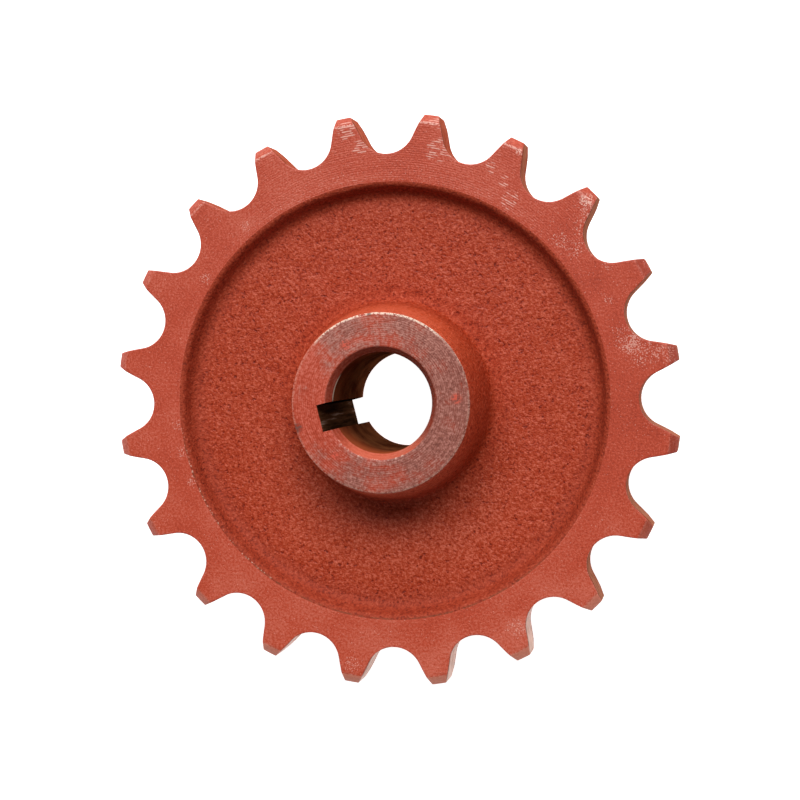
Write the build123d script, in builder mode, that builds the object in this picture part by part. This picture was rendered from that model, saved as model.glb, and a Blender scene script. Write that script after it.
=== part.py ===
"""Keyed plate sprocket for a 3/4 inch (19.05 mm) roller chain.

One iron casting: a toothed rim and a hub joined by a thinner round web. The hub stands
further out of the back of the rim than out of its front. The rim's faces, the hub's ends,
the bore, the keyway and the teeth are machined; the web and the hub's sides are as cast.
The part lies on the back end of its hub, with the bore's axis along +Z and the centre of
a tooth gap on +X. All lengths are in millimetres and all angles in degrees.
"""

from build123d import *
from math import asin, cos, degrees, radians, sin, tan
import os

os.makedirs("parts", exist_ok=True)

# Chain and teeth
chain_pitch = 19.05
roller_diameter = 11.91
tooth_count = 20
tip_diameter = 128.0
seat_radius = 6.4          # the round seat under a roller, a little larger than the roller
seat_half_angle = 64.0     # each side of the gap's centre line, measured at the seat's centre
flank_radius = 65.0        # the bulging side of a tooth, tangent to the seat
tip_bevel_radial = 1.9
tip_bevel_axial = 1.5

# Rim, web and hub, as heights above the hub's back end
rim_back = 15.0
rim_thickness = 10.5
hub_length = 37.0
front_recess_depth = 3.7
back_recess_depth = 2.0
recess_diameter = 96.0     # where each recess's wall would meet the rim's machined face
hub_diameter = 39.2        # at both machined ends
hub_taper = 11.0           # the generous draft that lets the hub's sides leave the sand mould
recess_slope = 24.0        # the same for the walls of the recesses
recess_lip_bevel = 0.8     # the soft outer corner of each recess
recess_fillet = 2.2        # the rounded inner corners of the front, as waxed on the pattern
hub_root_fillet = 1.8
back_corner_bevel = 1.2    # the back's inner corners, filled on the pattern by flat strips
hub_edge_break = 0.35      # the turned edges of the hub's ends, broken with a file

# Bore and keyway
bore_diameter = 22.0
bore_chamfer_radial = 1.3
bore_chamfer_axial = 2.3
key_width = 6.0
keyway_depth = 2.8         # from the bore's wall to the keyway's floor, on the centre line
keyway_angle = 193.7       # anticlockwise from the tooth gap on +X

# Sizes that follow from them
pitch_diameter = chain_pitch / sin(radians(180 / tooth_count))
root_radius = (pitch_diameter - roller_diameter) / 2
tip_radius = tip_diameter / 2
bore_radius = bore_diameter / 2
hub_radius = hub_diameter / 2
recess_radius = recess_diameter / 2
rim_front = rim_back + rim_thickness
web_front = rim_front - front_recess_depth
web_back = rim_back + back_recess_depth


def tapered(radius, depth, angle):
    """A radius changed by the slope of a wall of this depth."""
    return radius + depth * tan(radians(angle))


def casting_section():
    """Half of the casting's section, as corner points (radius, height) and their rounding."""
    front_root = tapered(hub_radius, hub_length - web_front, hub_taper)
    front_wall = tapered(recess_radius, -front_recess_depth, recess_slope)
    back_root = tapered(hub_radius, web_back, hub_taper)
    back_wall = tapered(recess_radius, -back_recess_depth, recess_slope)
    lip_face = recess_radius + recess_lip_bevel
    lip_wall = tapered(recess_radius, -recess_lip_bevel, recess_slope)
    bevel_foot = web_back - back_corner_bevel
    bevel_root = tapered(hub_radius, bevel_foot, hub_taper)
    chamfer_radius = bore_radius + bore_chamfer_radial
    return [
        ((bore_radius, bore_chamfer_axial), 0),
        ((chamfer_radius, 0), 0),
        ((hub_radius - hub_edge_break, 0), 0),
        ((hub_radius, hub_edge_break), 0),
        ((bevel_root, bevel_foot), 0),
        ((back_root + back_corner_bevel, web_back), 0),
        ((back_wall - back_corner_bevel, web_back), 0),
        ((lip_wall, rim_back + recess_lip_bevel), 0),
        ((lip_face, rim_back), 0),
        ((tip_radius - tip_bevel_radial, rim_back), 0),
        ((tip_radius, rim_back + tip_bevel_axial), 0),
        ((tip_radius, rim_front - tip_bevel_axial), 0),
        ((tip_radius - tip_bevel_radial, rim_front), 0),
        ((lip_face, rim_front), 0),
        ((lip_wall, rim_front - recess_lip_bevel), 0),
        ((front_wall, web_front), recess_fillet),
        ((front_root, web_front), hub_root_fillet),
        ((hub_radius, hub_length - hub_edge_break), 0),
        ((hub_radius - hub_edge_break, hub_length), 0),
        ((chamfer_radius, hub_length), 0),
        ((bore_radius, hub_length - bore_chamfer_axial), 0),
    ]


def flank_arc(side):
    """One flank of the gap on +X: its centre, the end on the seat and the end past the tip."""
    seat_centre = root_radius + seat_radius
    along = (-cos(radians(seat_half_angle)), side * sin(radians(seat_half_angle)))
    reach = seat_radius + flank_radius
    centre = Vector(seat_centre + reach * along[0], reach * along[1])
    start = Vector(seat_centre + seat_radius * along[0], seat_radius * along[1])
    past_tip = tip_radius + 2.0
    turn = side * 1.25 * degrees(asin((past_tip - start.length) / flank_radius))
    end = centre + (start - centre).rotate(Axis.Z, turn)
    middle = centre + (start - centre).rotate(Axis.Z, turn / 2)
    return start, middle, end


# The outline of one tooth gap: a round seat with a bulging flank each side
with BuildSketch() as gap:
    with BuildLine():
        lower_start, lower_middle, lower_end = flank_arc(-1)
        upper_start, upper_middle, upper_end = flank_arc(1)
        ThreePointArc(lower_end, lower_middle, lower_start)
        ThreePointArc(lower_start, Vector(root_radius, 0), upper_start)
        ThreePointArc(upper_start, upper_middle, upper_end)
        Line(upper_end, lower_end)
    make_face()

with BuildPart() as sprocket:
    # The turned casting: hub, web and rim with its bevelled edges, as one ring of revolution
    with BuildSketch(Plane.XZ):
        corners = casting_section()
        with BuildLine():
            FilletPolyline(
                [point for point, rounding in corners],
                radius=[rounding for point, rounding in corners],
                close=True,
            )
        make_face()
    revolve(axis=Axis.Z)

    # The tooth gaps, cut through the rim
    with BuildSketch(Plane.XY.offset(rim_back - 1.0)):
        with PolarLocations(0, tooth_count):
            add(gap.sketch)
    extrude(amount=rim_thickness + 2.0, mode=Mode.SUBTRACT)

    # The keyway, broached through the whole bore
    with BuildSketch(Plane.XY):
        with Locations(Location((0, 0, 0), (0, 0, keyway_angle))):
            Rectangle(bore_radius + keyway_depth, key_width, align=(Align.MIN, Align.CENTER))
    extrude(amount=hub_length, mode=Mode.SUBTRACT)

sprocket.part.label = "sprocket"
export_step(sprocket.part, "parts/sprocket.step")
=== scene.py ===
from math import acos, atan2, cos, hypot, pi, radians, sin, tan

import bmesh
import bpy
from mathutils import Euler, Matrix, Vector, noise


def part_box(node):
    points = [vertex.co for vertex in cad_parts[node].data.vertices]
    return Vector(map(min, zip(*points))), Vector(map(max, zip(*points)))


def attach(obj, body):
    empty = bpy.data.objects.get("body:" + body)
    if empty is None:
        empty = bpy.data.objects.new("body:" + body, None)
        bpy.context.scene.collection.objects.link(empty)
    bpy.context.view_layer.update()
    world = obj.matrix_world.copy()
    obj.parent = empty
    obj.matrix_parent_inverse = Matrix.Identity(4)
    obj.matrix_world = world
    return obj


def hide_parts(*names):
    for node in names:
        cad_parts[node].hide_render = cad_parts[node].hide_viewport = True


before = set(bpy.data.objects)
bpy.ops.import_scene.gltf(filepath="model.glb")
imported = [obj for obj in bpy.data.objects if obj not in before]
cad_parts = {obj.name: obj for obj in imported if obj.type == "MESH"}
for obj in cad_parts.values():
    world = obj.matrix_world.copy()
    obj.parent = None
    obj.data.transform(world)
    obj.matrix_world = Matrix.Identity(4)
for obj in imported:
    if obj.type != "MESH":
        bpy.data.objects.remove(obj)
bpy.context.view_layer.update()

mm = 0.001                       # the frame is in metres, and the shop's sizes are in millimetres

# ---------------------------------------------------------------------------------------
# The casting: hub, web and rim, poured as one piece of grey iron in a sand mould. Its
# section is drawn once, from the front of the rim over the web, up the hub, down the bore
# and back along the other side, and swept round the bore's axis.
# ---------------------------------------------------------------------------------------
hub_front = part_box("sprocket")[1].z / mm
bore_radius = 11.0
bore_chamfer = (1.3, 2.3)        # outwards, and along the bore
hub_radius = 19.6
rim_front, rim_back = 25.5, 15.0
web_front, web_back = 21.8, 17.0
recess_radius = 48.0             # where each recess's wall would meet the rim's turned face
hub_taper = tan(radians(11))
recess_slope = tan(radians(24))
lip = 0.8                        # the soft outer corner of each recess
back_bevel = 1.2                 # flat strips in the inner corners of the back
ring_start = 51.0                # where the swept casting ends and the toothed ring begins
sweep_steps = 400

# Each side's root is where the hub meets the web, and its wall where the recess's wall does
front_root = hub_radius + (hub_front - web_front) * hub_taper
front_wall = recess_radius - (rim_front - web_front) * recess_slope
back_root = hub_radius + web_back * hub_taper
bevel_root = back_root - back_bevel * hub_taper
back_wall = recess_radius - (web_back - rim_back) * recess_slope
lip_wall = recess_radius - lip * recess_slope
chamfer_radius = bore_radius + bore_chamfer[0]

# Radius, height, length of the rounding along each side, steps of the rounding, and the
# length of one row of faces on the way to the next corner
section = [
    (ring_start, rim_front, 0, 0, 0.8),
    (recess_radius, rim_front, lip, 4, 0.5),
    (front_wall, web_front, 1.4, 5, 0.5),
    (front_root, web_front, 1.5, 5, 0.7),
    (hub_radius, hub_front, 0.3, 3, 0.75),
    (chamfer_radius, hub_front, 0.15, 2, 0.8),
    (bore_radius, hub_front - bore_chamfer[1], 0.15, 2, 2.5),
    (bore_radius, bore_chamfer[1], 0.15, 2, 0.8),
    (chamfer_radius, 0, 0.15, 2, 1.5),
    (hub_radius, 0, 0.3, 3, 1.2),
    (bevel_root, web_back - back_bevel, 0.4, 2, 0.9),
    (back_root + back_bevel, web_back, 0.4, 2, 1.0),
    (back_wall - back_bevel, web_back, 0.4, 2, 0.9),
    (lip_wall, rim_back + lip, 0.3, 2, 0.6),
    (recess_radius + lip, rim_back, 0.25, 2, 0.8),
    (ring_start, rim_back, 0, 0, 1),
]


def swept_casting(mesh):
    """Draws the section as a line of edges, rounds its corners, cuts it into rows and spins it."""
    row_length = mesh.edges.layers.float.new("row length")
    corners = [mesh.verts.new((radius, 0, height)) for radius, height, *_ in section]
    for start, end, (*_, row) in zip(corners, corners[1:], section):
        mesh.edges.new((start, end))[row_length] = row
    for corner, (_, _, rounding, steps, _) in zip(corners, section):
        if rounding:
            bmesh.ops.bevel(mesh, geom=[corner], offset=rounding, offset_type="OFFSET", segments=steps,
                            profile=0.5, affect="VERTICES", material=-1)
    for edge in mesh.edges[:]:
        rows = round(edge.calc_length() / edge[row_length])
        if rows > 1:
            bmesh.ops.subdivide_edges(mesh, edges=[edge], cuts=rows - 1)
    bmesh.ops.spin(mesh, geom=mesh.verts[:] + mesh.edges[:], cent=(0, 0, 0), axis=(0, 0, 1),
                   dvec=(0, 0, 0), angle=2 * pi, steps=sweep_steps, use_merge=True)


casting = bmesh.new()
swept_casting(casting)

# ---------------------------------------------------------------------------------------
# The toothed ring: the rim of the same casting from where its face turns plain to the tips
# of the teeth. The gaps are milled or ground through the rim, with a round seat for the
# chain's roller and a bulging flank each side, and the tips are bevelled on a lathe.
# ---------------------------------------------------------------------------------------
tooth_count = 20
chain_pitch = 19.05
roller_diameter = 11.91
seat_radius = 6.4
seat_half_angle = radians(64)
flank_radius = 65.0
tip_radius = 64.0
bevel_start = 62.1               # the radius where the lathe's bevel begins in the rim's faces
bevel_fall = 1.5
edge_softness = 0.17             # how far paint and wear round the cut edges
cut_angle = radians(30)          # edges that turn more than this were left by a tool
weld_distance = 0.0005

seat_columns = 9                 # columns of faces in half a tooth gap
flank_columns = 5
bevel_column = seat_columns + flank_columns
corner_column = bevel_column + 1
half_pitch_columns = 18
columns = 2 * half_pitch_columns * tooth_count
front_rows, flank_rows, back_rows = 11, 7, 6
half_pitch = pi / tooth_count

root_radius = (chain_pitch / sin(half_pitch) - roller_diameter) / 2
seat_centre = root_radius + seat_radius
flank_centre = Vector((seat_centre - (seat_radius + flank_radius) * cos(seat_half_angle),
                       (seat_radius + flank_radius) * sin(seat_half_angle)))
flank_foot = hypot(seat_centre - seat_radius * cos(seat_half_angle),
                   seat_radius * sin(seat_half_angle))


def flank_angle(radius):
    """The angle from the gap's centre line at which a flank passes this radius."""
    reach = flank_centre.length
    opening = (radius ** 2 + reach ** 2 - flank_radius ** 2) / (2 * radius * reach)
    return atan2(flank_centre.y, flank_centre.x) - acos(opening)


def outline(column, in_face):
    """Radius and angle of the teeth at one column. In the flat faces the tips stop at the bevel."""
    gap, step = divmod(column + half_pitch_columns, 2 * half_pitch_columns)
    side = 1 if step > half_pitch_columns else -1
    step = abs(step - half_pitch_columns)
    if step <= seat_columns:
        turn = seat_half_angle * step / seat_columns
        seat = Vector((seat_centre - seat_radius * cos(turn), seat_radius * sin(turn)))
        radius, angle = seat.length, atan2(seat.y, seat.x)
    elif step <= bevel_column:
        radius = flank_foot + (bevel_start - flank_foot) * (step - seat_columns) / flank_columns
        angle = flank_angle(radius)
    else:
        radius, last = (bevel_start, bevel_column) if in_face else (tip_radius, corner_column)
        share = (step - last) / (half_pitch_columns - last)
        angle = flank_angle(radius) * (1 - share) + half_pitch * share
    return radius, 2 * half_pitch * gap + side * angle


def on_face(height, share):
    """Places a column between the plain ring (0) and the teeth (1), in one of the rim's faces."""
    def place(column):
        radius, angle = outline(column, in_face=True)
        start = 2 * pi * column / columns
        inner = Vector((ring_start * cos(start), ring_start * sin(start), height))
        outer = Vector((radius * cos(angle), radius * sin(angle), height))
        return inner.lerp(outer, share)
    return place


def on_flank(share):
    """Places a column on the teeth's cut side, from the front edge (0) to the back edge (1)."""
    def place(column):
        radius, angle = outline(column, in_face=False)
        fall = max(0, radius - bevel_start) * bevel_fall / (tip_radius - bevel_start)
        height = (rim_front - fall) + (rim_back - rim_front + 2 * fall) * share
        return Vector((radius * cos(angle), radius * sin(angle), height))
    return place


def toothed_ring(mesh):
    """Grows the ring row by row: over the front face, down the teeth and back under the rim."""
    column = mesh.verts.layers.int.new("column")
    ring = bmesh.ops.create_circle(mesh, cap_ends=False, segments=columns, radius=ring_start)["verts"]
    for vert in ring:
        vert[column] = round(atan2(vert.co.y, vert.co.x) / (2 * pi) * columns) % columns
        vert.co = on_face(rim_front, 0)(vert[column])
    places = [on_face(rim_front, row / front_rows) for row in range(1, front_rows + 1)]
    places += [on_flank(row / flank_rows) for row in range(flank_rows + 1)]
    places += [on_face(rim_back, 1 - row / back_rows) for row in range(back_rows + 1)]
    rim = mesh.edges[:]
    for place in places:
        grown = bmesh.ops.extrude_edge_only(mesh, edges=rim)["geom"]
        for vert in grown:
            if isinstance(vert, bmesh.types.BMVert):
                vert.co = place(vert[column])
        new = set(grown)
        rim = [edge for edge in grown
               if isinstance(edge, bmesh.types.BMEdge) and new.issuperset(edge.verts)]
    bmesh.ops.remove_doubles(mesh, verts=mesh.verts[:], dist=weld_distance)
    bmesh.ops.recalc_face_normals(mesh, faces=mesh.faces[:])
    cut_edges = [edge for edge in mesh.edges
                 if len(edge.link_faces) == 2 and edge.calc_face_angle() > cut_angle]
    bmesh.ops.bevel(mesh, geom=cut_edges, offset=edge_softness, offset_type="OFFSET", segments=2,
                    profile=0.5, affect="EDGES", material=-1)


teeth = bmesh.new()
toothed_ring(teeth)
ring_mesh = bpy.data.meshes.new("toothed ring")
teeth.to_mesh(ring_mesh)
casting.from_mesh(ring_mesh)
open_edges = [edge for edge in casting.edges if edge.is_boundary]
middle_height = (rim_front + rim_back) / 2
for in_front in (True, False):
    seam = [edge for edge in open_edges if (edge.verts[0].co.z > middle_height) == in_front]
    bmesh.ops.bridge_loops(casting, edges=seam)
bmesh.ops.recalc_face_normals(casting, faces=casting.faces[:])

# ---------------------------------------------------------------------------------------
# The keyway: one straight slot for a parallel key, pulled through the finished bore by a
# broach. Its corners are left sharp.
# ---------------------------------------------------------------------------------------
key_width = 6.0
keyway_floor = 13.8              # from the bore's axis to the floor of the slot
keyway_angle = radians(193.7)


def finished_object(name, mesh):
    """Puts a bmesh, drawn in millimetres, into the scene as an object in metres."""
    data = bpy.data.meshes.new(name)
    mesh.to_mesh(data)
    data.transform(((mm, 0, 0, 0), (0, mm, 0, 0), (0, 0, mm, 0), (0, 0, 0, 1)))
    made = bpy.data.objects.new(name, data)
    bpy.context.scene.collection.objects.link(made)
    return made


slot = bmesh.new()
bmesh.ops.create_cube(slot, size=1)
bmesh.ops.scale(slot, verts=slot.verts, vec=(keyway_floor, key_width, 2 * hub_front))
bmesh.ops.translate(slot, verts=slot.verts, vec=(keyway_floor / 2, 0, hub_front / 2))
bmesh.ops.rotate(slot, verts=slot.verts, cent=(0, 0, 0),
                 matrix=Euler((0, 0, keyway_angle)).to_matrix())
broach = finished_object("broach", slot)
sprocket = finished_object("chain_sprocket", casting)
cut = sprocket.modifiers.new("keyway", "BOOLEAN")
cut.operation, cut.solver, cut.object = "DIFFERENCE", "EXACT", broach
bpy.context.view_layer.update()
depsgraph = bpy.context.evaluated_depsgraph_get()
cut_mesh = bpy.data.meshes.new_from_object(sprocket.evaluated_get(depsgraph))
sprocket.modifiers.remove(cut)
sprocket.data = cut_mesh
bpy.data.objects.remove(broach)

# ---------------------------------------------------------------------------------------
# The skin of the casting: the sand leaves low lumps and pits on the web and the hub's
# sides, which are never machined, and handling dents the sharp edges of the teeth and of
# the hub's ends a little.
# ---------------------------------------------------------------------------------------
lump_height = 0.09
# Lumps to a millimetre, their height as a share of lump_height, and where the pattern starts
lumps = [(0.16, 1.1, (0, 0, 0)), (0.42, 0.8, (7, 3, 1)), (0.90, 0.55, (0, 0, 0))]
pits_to_mm = 0.28
pit_reach = 0.16                 # of the way from one pit to the next
pit_depth = 0.22
patches_to_mm = 0.1
pitted_patch = 0.05              # of the noise that puts the pits in patches: higher is fewer
skin_fade = 0.5                  # from a turned face to the full skin
hub_reach = 30.0                 # inside this radius the skin runs on to the hub's ends
bore_margin, bore_fade = 1.0, 1.5
dents_to_mm = 0.8
dent_depth = 0.16
sound_edge = 0.1                 # of the noise that dents the edges: higher leaves fewer dents


def as_cast(radius, height):
    """How much of the sand's skin is left at a place: none where a tool has cut."""
    if radius >= recess_radius + lip:
        return 0
    front, back = (rim_front, rim_back) if radius > hub_reach else (hub_front, 0)
    past_bore = (radius - chamfer_radius - bore_margin) / bore_fade
    return max(0, min(1, past_bore, (front - height) / skin_fade, (height - back) / skin_fade))


def sand_relief(place):
    """The height of the cast skin at a place in millimetres: lumps of three sizes, and pits."""
    height = sum(noise.noise(place * to_mm + Vector(start)) * share for to_mm, share, start in lumps)
    to_pit = noise.voronoi(place * pits_to_mm + Vector((2, 9, 4)))[0][0]
    pitted = noise.noise(place * patches_to_mm + Vector((5, 5, 5))) > pitted_patch
    return height * lump_height - max(0, 1 - to_pit / pit_reach) ** 2 * pitted * pit_depth


def dent(place, radius, normal):
    """How deep an edge is dented at a place, in millimetres. Edges face between two directions."""
    on_hub_end = hub_radius - 0.5 < radius < hub_radius + 0.1
    if not 0.25 < abs(normal.z) < 0.95 or not (radius > ring_start or on_hub_end):
        return 0
    return max(0, noise.noise(place * dents_to_mm) - sound_edge) * dent_depth


normals = [vert.normal.copy() for vert in cut_mesh.vertices]
for vert, normal in zip(cut_mesh.vertices, normals):
    place = vert.co / mm
    radius = hypot(place.x, place.y)
    skin = as_cast(radius, place.z)
    rise = sand_relief(place) * skin if skin > 0 else -dent(place, radius, normal)
    vert.co += normal * rise * mm

# ---------------------------------------------------------------------------------------
# The finishes: red oxide primer, brushed or dipped over everything. It lies over sand grain
# on the cast skin and over lathe marks on the turned faces, is worn brown and in places
# bright on the sides of the teeth, and is rubbed through to iron on the hub's ends. The bore
# is dark, oily iron with little paint. Light and shade are painted into the colours in
# places too: painted shade in the casting's corners, on bevels, the chamfer and one wall of
# the keyway, painted light on the hub's side, the web below the hub and bevels, and painted
# highlights, glints, sheen and reflections on edges, lathe marks and the teeth's sides.
# ---------------------------------------------------------------------------------------


class Signal:
    """One socket of a shader. Sums of signals add Math nodes, and node() adds any other."""

    def __init__(self, tree, socket):
        self.tree, self.socket = tree, socket

    def node(self, kind, settings=(), sockets=(), output=0):
        """A new node of a kind with its settings and sockets, and the signal of one of its outputs."""
        made = self.tree.nodes.new(kind)
        for name, value in dict(settings).items():
            if name == "stops":
                ramp = made.color_ramp
                while len(ramp.elements) < len(value):
                    ramp.elements.new(1)
                for stop, (position, colour) in zip(ramp.elements, value):
                    stop.position, stop.color = position, colour
            else:
                setattr(made, name, value)
        for name, value in dict(sockets).items():
            if isinstance(value, Signal):
                self.tree.links.new(value.socket, made.inputs[name])
            else:
                made.inputs[name].default_value = value
        return Signal(self.tree, made.outputs[output])

    def math(self, operation, *others):
        return self.node("ShaderNodeMath", {"operation": operation}, enumerate((self, *others)))

    def __add__(self, other):
        return self.math("ADD", other)

    def __sub__(self, other):
        return self.math("SUBTRACT", other)

    def __rsub__(self, other):
        return self.math("MULTIPLY_ADD", -1, other)

    def __mul__(self, other):
        return self.math("MULTIPLY", other)

    def __truediv__(self, other):
        return self.math("DIVIDE", other)

    __radd__ = __add__
    __rmul__ = __mul__

    def rise(self, low, high):
        """0 below low and 1 above high, with a soft step between; the other way if low > high."""
        if low > high:
            return 1 - self.rise(high, low)
        return self.node("ShaderNodeMapRange", {"interpolation_type": "SMOOTHSTEP"},
                         {"Value": self, "From Min": low, "From Max": high})

    def noise(self, scale, detail=2.0, roughness=0.5, place=(0, 0, 0)):
        """Cloudy noise from 0 to 1, with this many swells to a millimetre."""
        moved = self.node("ShaderNodeVectorMath", {"operation": "ADD"}, {0: self, 1: place})
        return moved.node("ShaderNodeTexNoise", (),
                          {"Vector": moved, "Scale": scale, "Detail": detail, "Roughness": roughness})

    def mix(self, first, second):
        """A colour between two, with this signal as the share of the second."""
        if not isinstance(second, Signal):
            second = (*second, 1)
        return self.node("ShaderNodeMix", {"data_type": "RGBA", "clamp_factor": True},
                         {0: self, 6: first, 7: second}, output=2)

    def ramp(self, *stops):
        """A colour from a row of stops, each a position from 0 to 1 and a colour."""
        return self.node("ShaderNodeValToRGB", {"stops": [(at, (*colour, 1)) for at, colour in stops]},
                         {0: self})

    def near(self, value, edge, core):
        """1 closer than core to a value, fading to 0 at the distance of edge from it."""
        return (self - value).math("ABSOLUTE").rise(edge, core)

    def bump(self, depth):
        """Turns this height, 0 to 1, into a relief so many millimetres deep."""
        return self.node("ShaderNodeBump", (), {"Height": self, "Distance": depth * mm})


class Finish:
    """A material, and where a point of the part is in millimetres and round the bore's axis."""

    def __init__(self, name):
        self.material = bpy.data.materials.new(name)
        self.material.use_nodes = True
        tree = self.material.node_tree
        self.shader = tree.nodes["Principled BSDF"]
        start = Signal(tree, tree.nodes.new("ShaderNodeTexCoord").outputs["Object"])
        self.place = start.node("ShaderNodeVectorMath", {"operation": "SCALE"},
                                {0: start, "Scale": 1 / mm})
        axes = tree.nodes.new("ShaderNodeSeparateXYZ")
        tree.links.new(self.place.socket, axes.inputs[0])
        self.x, self.y, self.z = (Signal(tree, socket) for socket in axes.outputs)
        self.radius = (self.x * self.x + self.y * self.y).math("SQRT")

    def sector(self, middle, half_width, softness):
        """1 in a sector round the bore, with all three angles in degrees, fading to 0 outside it."""
        facing = (self.x * cos(radians(middle)) + self.y * sin(radians(middle))) / self.radius
        outside, inside = half_width + softness, max(0, half_width - softness)
        return facing.rise(cos(radians(outside)), cos(radians(inside)))

    def spot(self, radius, angle, size):
        """1 at a place on the part, fading to 0 at this distance from it in millimetres."""
        x = self.x - cos(radians(angle)) * radius
        y = self.y - sin(radians(angle)) * radius
        return (x * x + y * y).math("SQRT").rise(size, size * 0.4)

    def stretched(self, level, upright):
        """The place scaled by one factor across the bore's axis and another along it."""
        return self.place.node("ShaderNodeVectorMath", {"operation": "MULTIPLY"},
                               {0: self.place, 1: (level, level, upright)})

    def rings(self, to_mm, along, detail):
        """The marks of a lathe tool: noise that changes fast with the radius and slowly along it."""
        wound = {0: self.radius * to_mm, 1: self.x * along, 2: self.y * along}
        return self.x.node("ShaderNodeCombineXYZ", (), wound).noise(1.0, detail)

    def thread(self, pitch):
        """The even spiral of a lathe tool, 0 in its groove and 1 on the ridges this far apart."""
        return (self.radius / pitch).math("PINGPONG", 0.5) * 2

    def wire(self, sockets):
        """Links signals to the shader's sockets, and sets plain numbers on them."""
        for name, value in sockets.items():
            if isinstance(value, Signal):
                value.tree.links.new(value.socket, self.shader.inputs[name])
            else:
                self.shader.inputs[name].default_value = value
        return self.material


def cast_finish():
    """Paint over sand grain: brown in the hollows between the grains, pale on their crowns."""
    hollow, shade = (0.190, 0.011, 0.001), (0.370, 0.035, 0.008)
    paint, crown = (0.430, 0.055, 0.019), (0.580, 0.112, 0.060)
    corner_shade_colour, painted_hub_highlight = (0.27, 0.050, 0.026), (0.66, 0.090, 0.022)
    grime, bare_lip = (0.18, 0.065, 0.030), (0.75, 0.48, 0.38)
    hub_foot = 22.5

    skin = Finish("painted sand casting")
    grain = skin.place.noise(1.5, detail=1, roughness=0.9)
    clumps = skin.place.noise(0.45, detail=1, place=(3, 8, 1))
    clouds = skin.place.noise(0.09, detail=1, place=(9, 2, 4))
    pores = skin.place.noise(0.95, detail=1, roughness=0.6, place=(5, 1, 7)).rise(0.35, 0.25)
    surface = grain + (clumps - 0.5) * 0.08 - pores * 0.25

    # The paint, with painted shade round the hub's foot and in the recess's corner
    foot = skin.radius.rise(hub_foot - 0.3, hub_foot + 0.3)
    foot = foot * skin.radius.rise(hub_foot + 4.5, hub_foot + 2)
    corner = skin.radius.rise(recess_radius - 6, recess_radius - 1.5)
    hub_side = skin.radius.rise(hub_foot - 0.4, hub_foot - 1.6)
    # Painted light: the web below the hub is painted lighter, where the hub's shadow falls
    below_hub = skin.sector(268, 42, 30) * skin.radius.rise(recess_radius - 5, recess_radius - 12)
    # Painted light: the top of the hub's side is painted lighter and more orange, where the light
    # falls on it
    above = skin.sector(98, 45, 35) * (skin.radius.rise(hub_foot - 0.9, hub_foot - 2.3) * 0.12 + 0.12)
    lit = above + below_hub * 0.06 - 0.025
    tone = surface + (clouds - 0.5) * 0.10 - foot * 0.036 - corner * 0.06 + hub_side * lit
    tone = tone + below_hub * 0.06
    colour = tone.ramp((0.22, hollow), (0.42, shade), (0.56, paint), (0.76, crown))
    colour = (corner * 0.25).mix(colour, corner_shade_colour)
    colour = (hub_side * skin.sector(95, 55, 30) * 0.35).mix(colour, painted_hub_highlight)

    # Grime along the recess's lip, with paint rubbed off it on one side
    lip_line = skin.radius.rise(recess_radius + 0.35, recess_radius + 0.60)
    grimy = lip_line * skin.sector(250, 64, 14)
    colour = (grimy * clumps.rise(0.40, 0.60) * 0.5).mix(colour, grime)
    rubbed = grain.rise(0.56, 0.66) * skin.sector(210, 26, 10)
    colour = (grimy * rubbed * 0.7).mix(colour, bare_lip)

    relief = surface * (1 - skin.radius.rise(hub_foot + 0.5, hub_foot - 1) * 0.35)
    return skin.wire({"Base Color": colour, "Roughness": (corner + foot) * 0.25 + 0.48,
                      "Specular IOR Level": 0.27, "Normal": relief.bump(0.22)})


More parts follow.
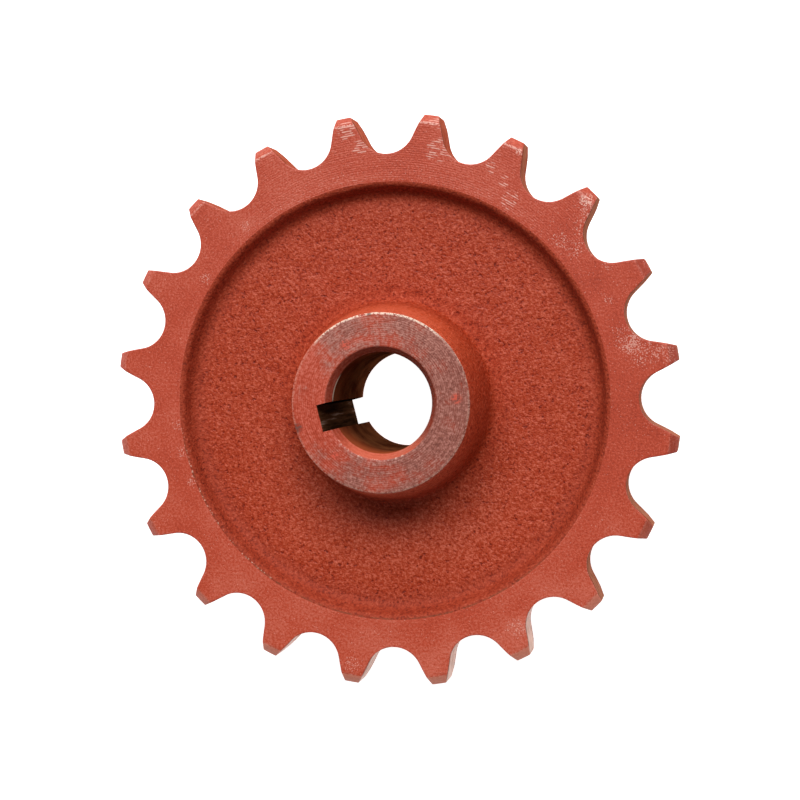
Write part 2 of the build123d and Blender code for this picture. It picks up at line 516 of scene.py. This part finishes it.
def turned_finish():
    """Paint over a lathe's fine rings, scuffed where chain and tools have knocked the teeth, with
    painted glints and sheen.
    """
    shade, paint, pale = (0.350, 0.034, 0.011), (0.500, 0.061, 0.024), (0.620, 0.145, 0.090)
    shaded_bevel, lit_bevel = (0.17, 0.025, 0.014), (0.96, 0.38, 0.24)
    bare_and_glint = (0.80, 0.44, 0.36)
    # The worn places: radius, angle in degrees and reach. Knocks follow the lathe's rings,
    # bruises are rubbed bright, and both are painted brighter still as glints; scuffs are scattered.
    knocks_and_glints = [(62.0, 80.0, 2.0), (56.5, 78.5, 3.4), (57.0, 75.5, 2.5), (61.0, 98.5, 2.6),
              (56.6, 96.0, 2.4), (58.9, 54.7, 3.0), (51.6, 58.0, 2.5), (56.0, 65.5, 1.6),
              (54.6, 61.5, 1.6)]
    bruises = [(61.9, 61.4, 1.2), (61.7, 44.6, 1.9)]
    scuffs = [(61.6, 43.5, 3.4), (58.0, 40.8, 4.2), (51.8, 42.4, 3.0), (60.6, 32.3, 3.4),
              (52.8, 38.2, 2.8), (56.6, 10.5, 5.4), (61.4, 9.0, 3.2), (54.0, 14.5, 4.4),
              (56.5, 30.8, 1.6), (53.2, 24.0, 1.6), (57.5, 299.0, 3.2), (60.0, 261.0, 3.0),
              (49.4, 186.0, 2.2), (49.5, 193.0, 2.2), (49.4, 201.0, 2.2), (50.6, 146.0, 2.0),
              (51.4, 129.0, 2.0)]

    face = Finish("painted turned face")
    rings = face.rings(2.3, along=0.03, detail=1)
    strokes = face.rings(2.0, along=0.55, detail=1)
    thread = face.thread(0.5)
    brushed = face.place.noise(2.0, detail=1, roughness=0.9)
    clouds = face.place.noise(0.13, detail=2, place=(1, 4, 9))
    crumbs = face.place.noise(1.7, detail=2, roughness=0.7, place=(4, 4, 2))
    specks = face.place.noise(2.7, detail=1, roughness=0.8, place=(6, 2, 7))
    patches = face.place.noise(0.25, detail=1, place=(8, 2, 2))

    # The paint, with the lathe's rings strongest in the colour at the top, partly painted sheen where
    # light catches them; painted lighter as a sheen at the bottom and lower right, and a little darker
    # to the right and at the top
    top, bottom, right = face.sector(88, 42, 20), face.sector(275, 45, 25), face.sector(0, 32, 20)
    lower_right = face.sector(300, 22, 15) * 0.05 * face.radius.rise(54, 57)
    ringed = top * 0.75 + 0.25
    tone = brushed * 0.52 + clouds * 0.26 + rings * 0.08
    tone = tone + (thread - 0.5) * (patches.rise(0.40, 0.60) * ringed) * 0.05 + 0.07
    tone = tone + bottom * 0.02 + lower_right - right * 0.05 - top * 0.01
    colour = tone.ramp((0.30, shade), (0.48, paint), (0.66, pale))
    bevel = face.radius.rise(bevel_start - 0.15, bevel_start + 0.15)
    # Painted shade on the bevels at the right, and painted light on those at the bottom
    colour = (bevel * right * 0.45).mix(colour, shaded_bevel)
    colour = (bevel * bottom * 0.42).mix(colour, lit_bevel)

    # The worn places, with painted glints on the knocked spots and bruises, on the ridges next to the
    # recess at the top, and on the crease where the bevel starts, brightest at the top
    knocked = sum(face.spot(*knock) for knock in knocks_and_glints)
    dashes_and_glints = thread.rise(0.30, 0.80) * (strokes + knocked * 0.12).rise(0.58, 0.66)
    dashes_and_glints = dashes_and_glints * knocked.rise(0.0, 0.5)
    bruised_and_glinting = sum(face.spot(*bruise) for bruise in bruises) * specks.rise(0.46, 0.56)
    scuffed = (specks + sum(face.spot(*scuff) for scuff in scuffs) * 0.14).rise(0.70, 0.78)
    by_recess = face.radius.rise(recess_radius + 4.4, recess_radius + 2.6)
    glints_by_lip = thread.rise(0.55, 0.95) * crumbs.rise(0.52, 0.66) * top * by_recess * 0.5
    crease = face.radius.near(bevel_start, 0.40, 0.12) * (face.sector(92, 42, 12) * 0.75 + 0.15)
    worn = dashes_and_glints + bruised_and_glinting + scuffed * 0.7 + glints_by_lip + crease * brushed.rise(0.42, 0.52) * 0.8
    # Worn places show iron, painted lighter than iron as highlights
    colour = (worn * 0.85).mix(colour, bare_and_glint)

    relief = (rings * 0.5 + thread * 0.3) * ringed + brushed * 1.2
    return face.wire({"Base Color": colour, "Roughness": 0.48, "Specular IOR Level": 0.40,
                      "Normal": relief.bump(0.07)})


def flank_finish():
    """Thin paint on the cut sides of the teeth, worn brown, and glossy on the teeth at the bottom,
    with bright lines of painted reflection there.
    """
    shade, paint = (0.30, 0.054, 0.026), (0.48, 0.125, 0.072)
    rust, brown, tan_iron = (0.27, 0.090, 0.048), (0.36, 0.135, 0.078), (0.43, 0.175, 0.108)
    bright, oily_edge = (0.74, 0.40, 0.27), (0.10, 0.026, 0.012)

    side = Finish("painted tooth flank")
    streaks = side.stretched(0.40, 1.1).noise(1.0, detail=3, roughness=0.65)
    lines = side.stretched(0.20, 1.3).noise(1.0, detail=3, roughness=0.7)
    blotches = side.place.noise(0.20, detail=2, place=(2, 7, 5))
    off_middle = (side.z - middle_height).math("ABSOLUTE")

    # Paint, worn to brown iron in the middle of the teeth's width
    worn = side.sector(338, 78, 22) * 0.8 - side.sector(95, 20, 16) * 0.5 + 0.18
    worn = worn + (blotches - 0.5) * 1.6 + (streaks - 0.5) * 1.2 - off_middle.rise(2.8, 5.0) * 0.6
    painted = streaks.ramp((0.35, shade), (0.65, paint))
    iron = streaks.ramp((0.36, rust), (0.50, brown), (0.64, tan_iron))
    colour = worn.rise(0.05, 0.95).mix(painted, iron)
    # Bright lines of painted reflection under a gloss coat on the teeth at the bottom, and oil along
    # the edges
    reflecting_teeth = (side.sector(272, 34, 20) + (blotches - 0.5) * 0.8).rise(0.25, 0.8)
    polish_and_reflection = reflecting_teeth * lines.rise(0.28, 0.60)
    colour = (polish_and_reflection * 0.8).mix(colour, bright)
    edges = off_middle.rise(3.9, 4.6) * streaks.rise(0.28, 0.46)
    colour = (edges * 0.8).mix(colour, oily_edge)
    return side.wire({"Base Color": colour, "Roughness": 0.8, "Specular IOR Level": 0.0,
                      "Coat Weight": polish_and_reflection * (1 - edges) * 0.85, "Coat Roughness": 0.28,
                      "Coat IOR": 1.5, "Normal": streaks.bump(0.05)})


def nose_finish():
    """The hub's ends: grey iron seen through thin paint, most on the side away from the keyway."""
    shade, paint, pale = (0.36, 0.036, 0.013), (0.50, 0.070, 0.034), (0.64, 0.15, 0.10)
    dark_iron, grey_iron = (0.165, 0.050, 0.036), (0.300, 0.095, 0.069)
    light_iron = (0.510, 0.215, 0.170)
    shaded_chamfer, lit_chamfer = (0.13, 0.030, 0.016), (0.80, 0.190, 0.110)
    bare_and_glint, chipped, dabbed = (0.92, 0.70, 0.55), (0.11, 0.055, 0.045), (0.66, 0.090, 0.050)

    nose = Finish("rubbed hub end")
    thread = nose.thread(0.46)
    rings = nose.rings(2.2, along=0.12, detail=2)
    grit = nose.place.noise(1.6, detail=2, roughness=0.8)
    patches = nose.place.noise(0.22, detail=3, roughness=0.6, place=(6, 1, 1))
    chamfer = nose.radius.rise(chamfer_radius + 0.15, chamfer_radius - 0.15)

    # Thin paint, with iron showing through it in patches
    rubbed = nose.sector(0, 55, 45) * 0.40 + 0.55 - nose.sector(180, 30, 26) * 0.70
    rubbed = rubbed + (patches - 0.5) * 2.0 + (grit - 0.5) * 1.4 + (rings - 0.5) * 0.8 - chamfer * 0.6
    texture = rings * 0.25 + grit * 0.75 + (thread - 0.5) * (1 - patches) * 0.16
    # Painted sheen: the top is painted lighter, where light catches the turned rings
    texture = texture + nose.sector(105, 50, 35) * 0.05
    painted = texture.ramp((0.34, shade), (0.50, paint), (0.66, pale))
    iron = texture.ramp((0.34, dark_iron), (0.50, grey_iron), (0.66, light_iron))
    colour = rubbed.rise(0.0, 0.95).mix(painted, iron)
    # Painted shade on the chamfer, and painted light on it at the bottom
    below = nose.sector(272, 42, 20)
    colour = (chamfer * (1 - below) * 0.32).mix(colour, shaded_chamfer)
    colour = (chamfer * below * 0.5).mix(colour, lit_chamfer)

    # Worn edges painted bright as highlights, most at the top, painted glints on the chamfer's edge at
    # the bottom, chips, and dabs of paint
    outer_edge = nose.radius.rise(hub_radius - 0.55, hub_radius - 0.30)
    burr_and_glints = outer_edge * grit.rise(0.40, 0.52) * (nose.sector(92, 42, 8) * 0.85 + 0.15)
    glints = nose.radius.near(chamfer_radius + 0.05, 0.25, 0.08) * nose.sector(262, 40, 10)
    burr_and_glints = burr_and_glints + glints * grit.rise(0.52, 0.66) * 0.6
    colour = (burr_and_glints * 0.9).mix(colour, bare_and_glint)
    chips = nose.spot(19.1, 196.1, 1.4) + nose.spot(19.3, 96.3, 0.7)
    colour = (chips * grit.rise(0.35, 0.5) * 0.8).mix(colour, chipped)
    dabs = nose.spot(16.7, 2.7, 1.5) + nose.spot(15.2, 228.5, 1.2) + nose.spot(14.7, 120.6, 1.6)
    colour = (dabs * grit.rise(0.40, 0.56) * 0.9).mix(colour, dabbed)
    relief = rings * 0.3 + thread * 0.3 + grit * 0.6
    return nose.wire({"Base Color": colour, "Roughness": 0.42, "Specular IOR Level": 0.35,
                      "Normal": relief.bump(0.07)})


def bore_finish():
    """Bored iron, dark brown with oil and thinly fogged with paint at its front end."""
    oil, stained = (0.070, 0.016, 0.006), (0.170, 0.055, 0.020)
    black, deep = (0.006, 0.003, 0.002), (0.030, 0.012, 0.005)
    brown, scraped_and_glinting = (0.095, 0.038, 0.017), (0.26, 0.17, 0.13)
    fog, bare_and_glint = (0.42, 0.085, 0.030), (0.85, 0.70, 0.55)

    bore = Finish("oily bore")
    stains = bore.place.noise(0.22, detail=3, roughness=0.6)
    broached = bore.stretched(0.9, 0.07).noise(1.0, detail=2, roughness=0.6)
    colour = stains.ramp((0.35, oil), (0.65, stained))
    fogged = bore.z.rise(hub_front - 16, hub_front - 2) * (bore.sector(275, 50, 30) * 0.65 + 0.25)
    colour = (fogged * 0.9).mix(colour, fog)

    # The keyway, with one of its walls painted black as shade and its light streaks partly painted
    # glints, and a painted highlight on the bore's front edge
    slot = broached.ramp((0.36, deep), (0.58, brown), (0.70, scraped_and_glinting))
    across = bore.x * -sin(keyway_angle) + bore.y * cos(keyway_angle)
    slot = across.rise(0.20 - key_width / 2, 0.05 - key_width / 2).mix(slot, black)
    colour = bore.radius.rise(bore_radius + 0.15, bore_radius + 0.35).mix(colour, slot)
    bore_mouth = hub_front - bore_chamfer[1] - 0.2
    glint = bore.sector(162, 13, 6) * bore.z.near(bore_mouth, 0.5, 0.25)
    colour = (glint * 0.9).mix(colour, bare_and_glint)
    return bore.wire({"Base Color": colour, "Roughness": 0.8, "Specular IOR Level": 0.0,
                      "Normal": broached.bump(0.04)})


sprocket.data.materials.clear()
for make_finish in (cast_finish, turned_finish, flank_finish, nose_finish, bore_finish):
    sprocket.data.materials.append(make_finish())
cast, turned, flank, nose, bored = range(5)
sharp_angle = radians(38)


def finish_of(centre, normal):
    """Which finish a face has, from its place in millimetres and the way it faces.

    The small distances let in the faces that round an edge."""
    radius, tilt = hypot(centre.x, centre.y), abs(normal.z)
    in_keyway = radius < keyway_floor + 1 and tilt < 0.2
    if radius < bore_radius + 0.15 or in_keyway:
        return bored
    at_hub_end = centre.z > hub_front - 0.3 or centre.z < 0.3 or tilt > 0.2
    if radius < hub_radius + 0.02 and at_hub_end:
        return nose
    if radius > root_radius - 0.3 and tilt < 0.35:
        return flank
    if radius > recess_radius + lip - 0.15:
        return turned
    return cast


for face in cut_mesh.polygons:
    face.material_index = finish_of(face.center / mm, face.normal)
    face.use_smooth = True
cut_mesh.set_sharp_from_angle(angle=sharp_angle)

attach(sprocket, "root")
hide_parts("sprocket")

# ---------------------------------------------------------------------------------------
# The studio: a plain white table that glows a little, as a light table does, so that the
# cut sides of the teeth pick it up; four soft lights from the far side of the table, a weak
# one from the near side, and an even pale room. The camera looks down on the part.
# ---------------------------------------------------------------------------------------
table_reach = 3000.0
table_gap = 0.05                 # below the part, so that the two faces don't flicker together
light_distance = 6.0             # in metres, as Blender's lights are
light_spread = radians(24)       # how wide a light looks from the part
camera_place = (73.67, 11.35, 402.95)
camera_turn = (-1.80, 10.69, -0.812)

table_mesh = bmesh.new()
bmesh.ops.create_grid(table_mesh, x_segments=1, y_segments=1, size=table_reach)
bmesh.ops.translate(table_mesh, verts=table_mesh.verts, vec=(0, 0, -table_gap))
table = finished_object("table", table_mesh)
table_paint = bpy.data.materials.new("white table")
table_paint.use_nodes = True
table_shader = table_paint.node_tree.nodes["Principled BSDF"]
for socket, value in (("Base Color", (0.60, 0.60, 0.60, 1)), ("Roughness", 0.7),
                      ("Emission Color", (1, 1, 1, 1)), ("Emission Strength", 1.0)):
    table_shader.inputs[socket].default_value = value
table.data.materials.append(table_paint)

# Name, azimuth and lean from upright in degrees, and strength
lights = [("right far light", 60, 40, 0.42), ("far light", 90, 36, 0.30),
          ("left far light", 120, 40, 0.32), ("low far light", 90, 62, 0.20),
          ("near fill", -90, 72, 0.05)]
for name, azimuth, lean, strength in lights:
    lamp = bpy.data.lights.new(name, "AREA")
    lamp.shape, lamp.size = "SQUARE", 2 * light_distance * tan(light_spread / 2)
    lamp.energy = strength * (pi * light_distance) ** 2
    light = bpy.data.objects.new(name, lamp)
    facing = Euler((0, radians(lean), radians(azimuth)))
    light.location = facing.to_matrix() @ Vector((0, 0, light_distance))
    light.rotation_euler = facing
    bpy.context.scene.collection.objects.link(light)

room = bpy.data.worlds.new("pale room")
room.use_nodes = True
sky = room.node_tree.nodes["Background"]
sky.inputs["Color"].default_value = (1, 1, 1, 1)
seen = Signal(room.node_tree, room.node_tree.nodes.new("ShaderNodeLightPath").outputs["Is Camera Ray"])
glow = seen * 0.90 + 0.09        # white to look at, and dim as a light
room.node_tree.links.new(glow.socket, sky.inputs["Strength"])
bpy.context.scene.world = room
bpy.context.scene.view_settings.view_transform = "Standard"

lens = bpy.data.cameras.new("camera")
lens.lens = 77.84
lens.clip_start = 0.01
camera = bpy.data.objects.new("camera", lens)
camera.location = Vector(camera_place) * mm
camera.rotation_euler = [radians(turn) for turn in camera_turn]
bpy.context.scene.collection.objects.link(camera)
bpy.context.scene.camera = camera
